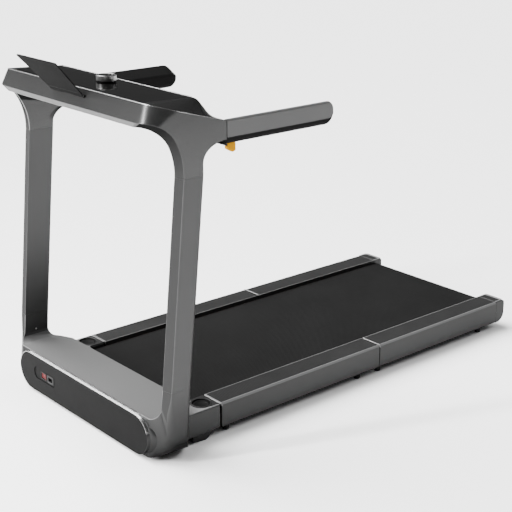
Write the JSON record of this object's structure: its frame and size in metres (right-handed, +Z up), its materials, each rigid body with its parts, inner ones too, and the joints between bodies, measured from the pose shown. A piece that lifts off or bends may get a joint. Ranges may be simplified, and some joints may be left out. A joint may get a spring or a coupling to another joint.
{
  "type": "folding motorised treadmill",
  "caption": "Low folding motorised walking treadmill with an upright ring frame, console with a round knob, tablet rest and folding handrails.",
  "frame": {"origin": "middle of the bounding box's base, on the floor", "axes": "+Z up, +Y from the console towards the rear end of the deck, +X to the walker's left"},
  "size_m": [0.734, 1.504, 0.9995],
  "materials": {
    "body_grey": "satin",
    "upright_grey": "satin",
    "rail_grey": "satin",
    "panel_dark": "satin",
    "bright_trim": "polished",
    "black_glass": "gloss",
    "black_plastic": "matte",
    "grip_black": "matte",
    "knob_metal": "polished",
    "steel": "satin",
    "rubber": "matte",
    "belt": "matte",
    "board": "matte",
    "circuit": "satin",
    "yellow": "satin",
    "red": "satin"
  },
  "bodies": {
    "frame": {"base_housing": "body_grey", "upright_left": "upright_grey", "upright_right": "upright_grey", "console_body": "body_grey", "front_bezel": "bright_trim", "front_panel": "panel_dark", "power_inlet": "black_plastic", "bottom_pan": "black_plastic", "motor": "steel", "drive_belt": "rubber", "motor_controller": "circuit", "knuckle_left": "body_grey", "knuckle_right": "body_grey", "knuckle_cap_left": "black_plastic", "knuckle_cap_right": "black_plastic", "wheel_bracket_left": "black_plastic", "wheel_bracket_right": "black_plastic", "front_fold_pin_left": "bright_trim", "front_fold_pin_right": "bright_trim", "front_axle": "steel", "belt_front_wrap": "belt", "console_glass": "black_glass", "display_board": "circuit", "knob_encoder": "circuit", "tablet_rest_pin": "steel", "handrail_pin_left": "steel", "handrail_pin_right": "steel"},
    "deck_front": {"rail_front_left": "rail_grey", "rail_front_right": "rail_grey", "deck_board_front": "board", "cross_tube_front": "steel", "belly_pan_front": "black_plastic", "belt_top_strand": "belt", "belt_return_strand": "belt", "middle_fold_pin_left": "bright_trim", "middle_fold_pin_right": "bright_trim"},
    "deck_rear": {"rail_rear_left": "rail_grey", "rail_rear_right": "rail_grey", "deck_board_rear": "board", "cross_tube_rear": "steel", "belly_pan_rear": "black_plastic", "end_cap_left": "rail_grey", "end_cap_right": "rail_grey", "rear_axle": "steel", "belt_rear_wrap": "belt"},
    "front_roller": {"front_roller": "steel"},
    "rear_roller": {"rear_roller": "steel"},
    "motor_pulley": {"motor_pulley": "steel"},
    "knob_shaft": {"knob_shaft": "steel"},
    "speed_knob": {"speed_knob": "knob_metal"},
    "tablet_rest": {"tablet_rest": "panel_dark"},
    "power_switch": {"power_switch": "red"},
    "handrail_left": {"handrail_left": "grip_black"},
    "release_lever_left": {"release_lever_left": "yellow"},
    "fold_pedal_left": {"fold_pedal_left": "rubber"},
    "transport_wheel_left": {"transport_wheel_left": "rubber"},
    "handrail_right": {"handrail_right": "grip_black"},
    "release_lever_right": {"release_lever_right": "yellow"},
    "fold_pedal_right": {"fold_pedal_right": "rubber"},
    "transport_wheel_right": {"transport_wheel_right": "rubber"}
  },
  "joints": [
    {"name": "deck_raise", "type": "hinge", "parent": "frame", "child": "deck_front", "pos_m": [0, -0.43549, 0.0905], "axis": [1, 0, 0], "range_deg": [0, 90]},
    {"name": "deck_fold", "type": "hinge", "parent": "deck_front", "child": "deck_rear", "pos_m": [0, 0.16901, 0.0915], "axis": [1, 0, 0], "range_deg": [0, 180]},
    {"name": "handrail_fold_left", "type": "hinge", "parent": "frame", "child": "handrail_left", "pos_m": [0.339, -0.44679, 0.8025], "axis": [-1, 0, 0], "range_deg": [0, 90]},
    {"name": "handrail_fold_right", "type": "hinge", "parent": "frame", "child": "handrail_right", "pos_m": [-0.339, -0.44679, 0.8025], "axis": [-1, 0, 0], "range_deg": [0, 90]},
    {"name": "release_lever_pull_left", "type": "hinge", "parent": "handrail_left", "child": "release_lever_left", "pos_m": [0.339, -0.42199, 0.811], "axis": [1, 0, 0], "range_deg": [0, 20], "stiffness_Nm_per_rad": 0.4, "springref_deg": -8.59},
    {"name": "release_lever_pull_right", "type": "hinge", "parent": "handrail_right", "child": "release_lever_right", "pos_m": [-0.339, -0.42199, 0.811], "axis": [1, 0, 0], "range_deg": [0, 20], "stiffness_Nm_per_rad": 0.4, "springref_deg": -8.59},
    {"name": "tablet_rest_fold", "type": "hinge", "parent": "frame", "child": "tablet_rest", "pos_m": [0, -0.66699, 0.9075], "axis": [-1, 0, 0], "range_deg": [0, 70]},
    {"name": "knob_press", "type": "slide", "parent": "frame", "child": "knob_shaft", "axis": [0, -0.04, -0.9992], "range_m": [0, 0.0015], "stiffness_N_per_m": 1500, "springref_m": -0.003},
    {"name": "knob_turn", "type": "hinge", "parent": "knob_shaft", "child": "speed_knob", "pos_m": [0, -0.54899, 0.91854], "axis": [0, 0.04, 0.9992], "continuous": true},
    {"name": "power_switch_rock", "type": "hinge", "parent": "frame", "child": "power_switch", "pos_m": [-0.188, -0.66999, 0.067], "axis": [0, 0, 1], "range_deg": [0, 12]},
    {"name": "fold_pedal_press_left", "type": "slide", "parent": "frame", "child": "fold_pedal_left", "axis": [0, 0, -1], "range_m": [0, 0.005], "stiffness_N_per_m": 1500, "springref_m": -0.002},
    {"name": "fold_pedal_press_right", "type": "slide", "parent": "frame", "child": "fold_pedal_right", "axis": [0, 0, -1], "range_m": [0, 0.005], "stiffness_N_per_m": 1500, "springref_m": -0.002},
    {"name": "transport_wheel_spin_left", "type": "hinge", "parent": "frame", "child": "transport_wheel_left", "pos_m": [0.283, -0.51199, 0.0102], "axis": [1, 0, 0], "continuous": true},
    {"name": "transport_wheel_spin_right", "type": "hinge", "parent": "frame", "child": "transport_wheel_right", "pos_m": [-0.283, -0.51199, 0.0102], "axis": [1, 0, 0], "continuous": true},
    {"name": "front_roller_spin", "type": "hinge", "parent": "frame", "child": "front_roller", "pos_m": [0, -0.56199, 0.0547], "axis": [1, 0, 0], "continuous": true},
    {"name": "motor_pulley_spin", "type": "hinge", "parent": "frame", "child": "motor_pulley", "pos_m": [0.2325, -0.61999, 0.064], "axis": [1, 0, 0], "continuous": true},
    {"name": "rear_roller_spin", "type": "hinge", "parent": "deck_rear", "child": "rear_roller", "pos_m": [0, 0.71601, 0.0547], "axis": [1, 0, 0], "continuous": true}
  ],
  "couplings": [
    {"joint": "motor_pulley_spin", "follows": "front_roller_spin", "ratio": 1.3226},
    {"joint": "rear_roller_spin", "follows": "front_roller_spin", "ratio": 1}
  ]
}
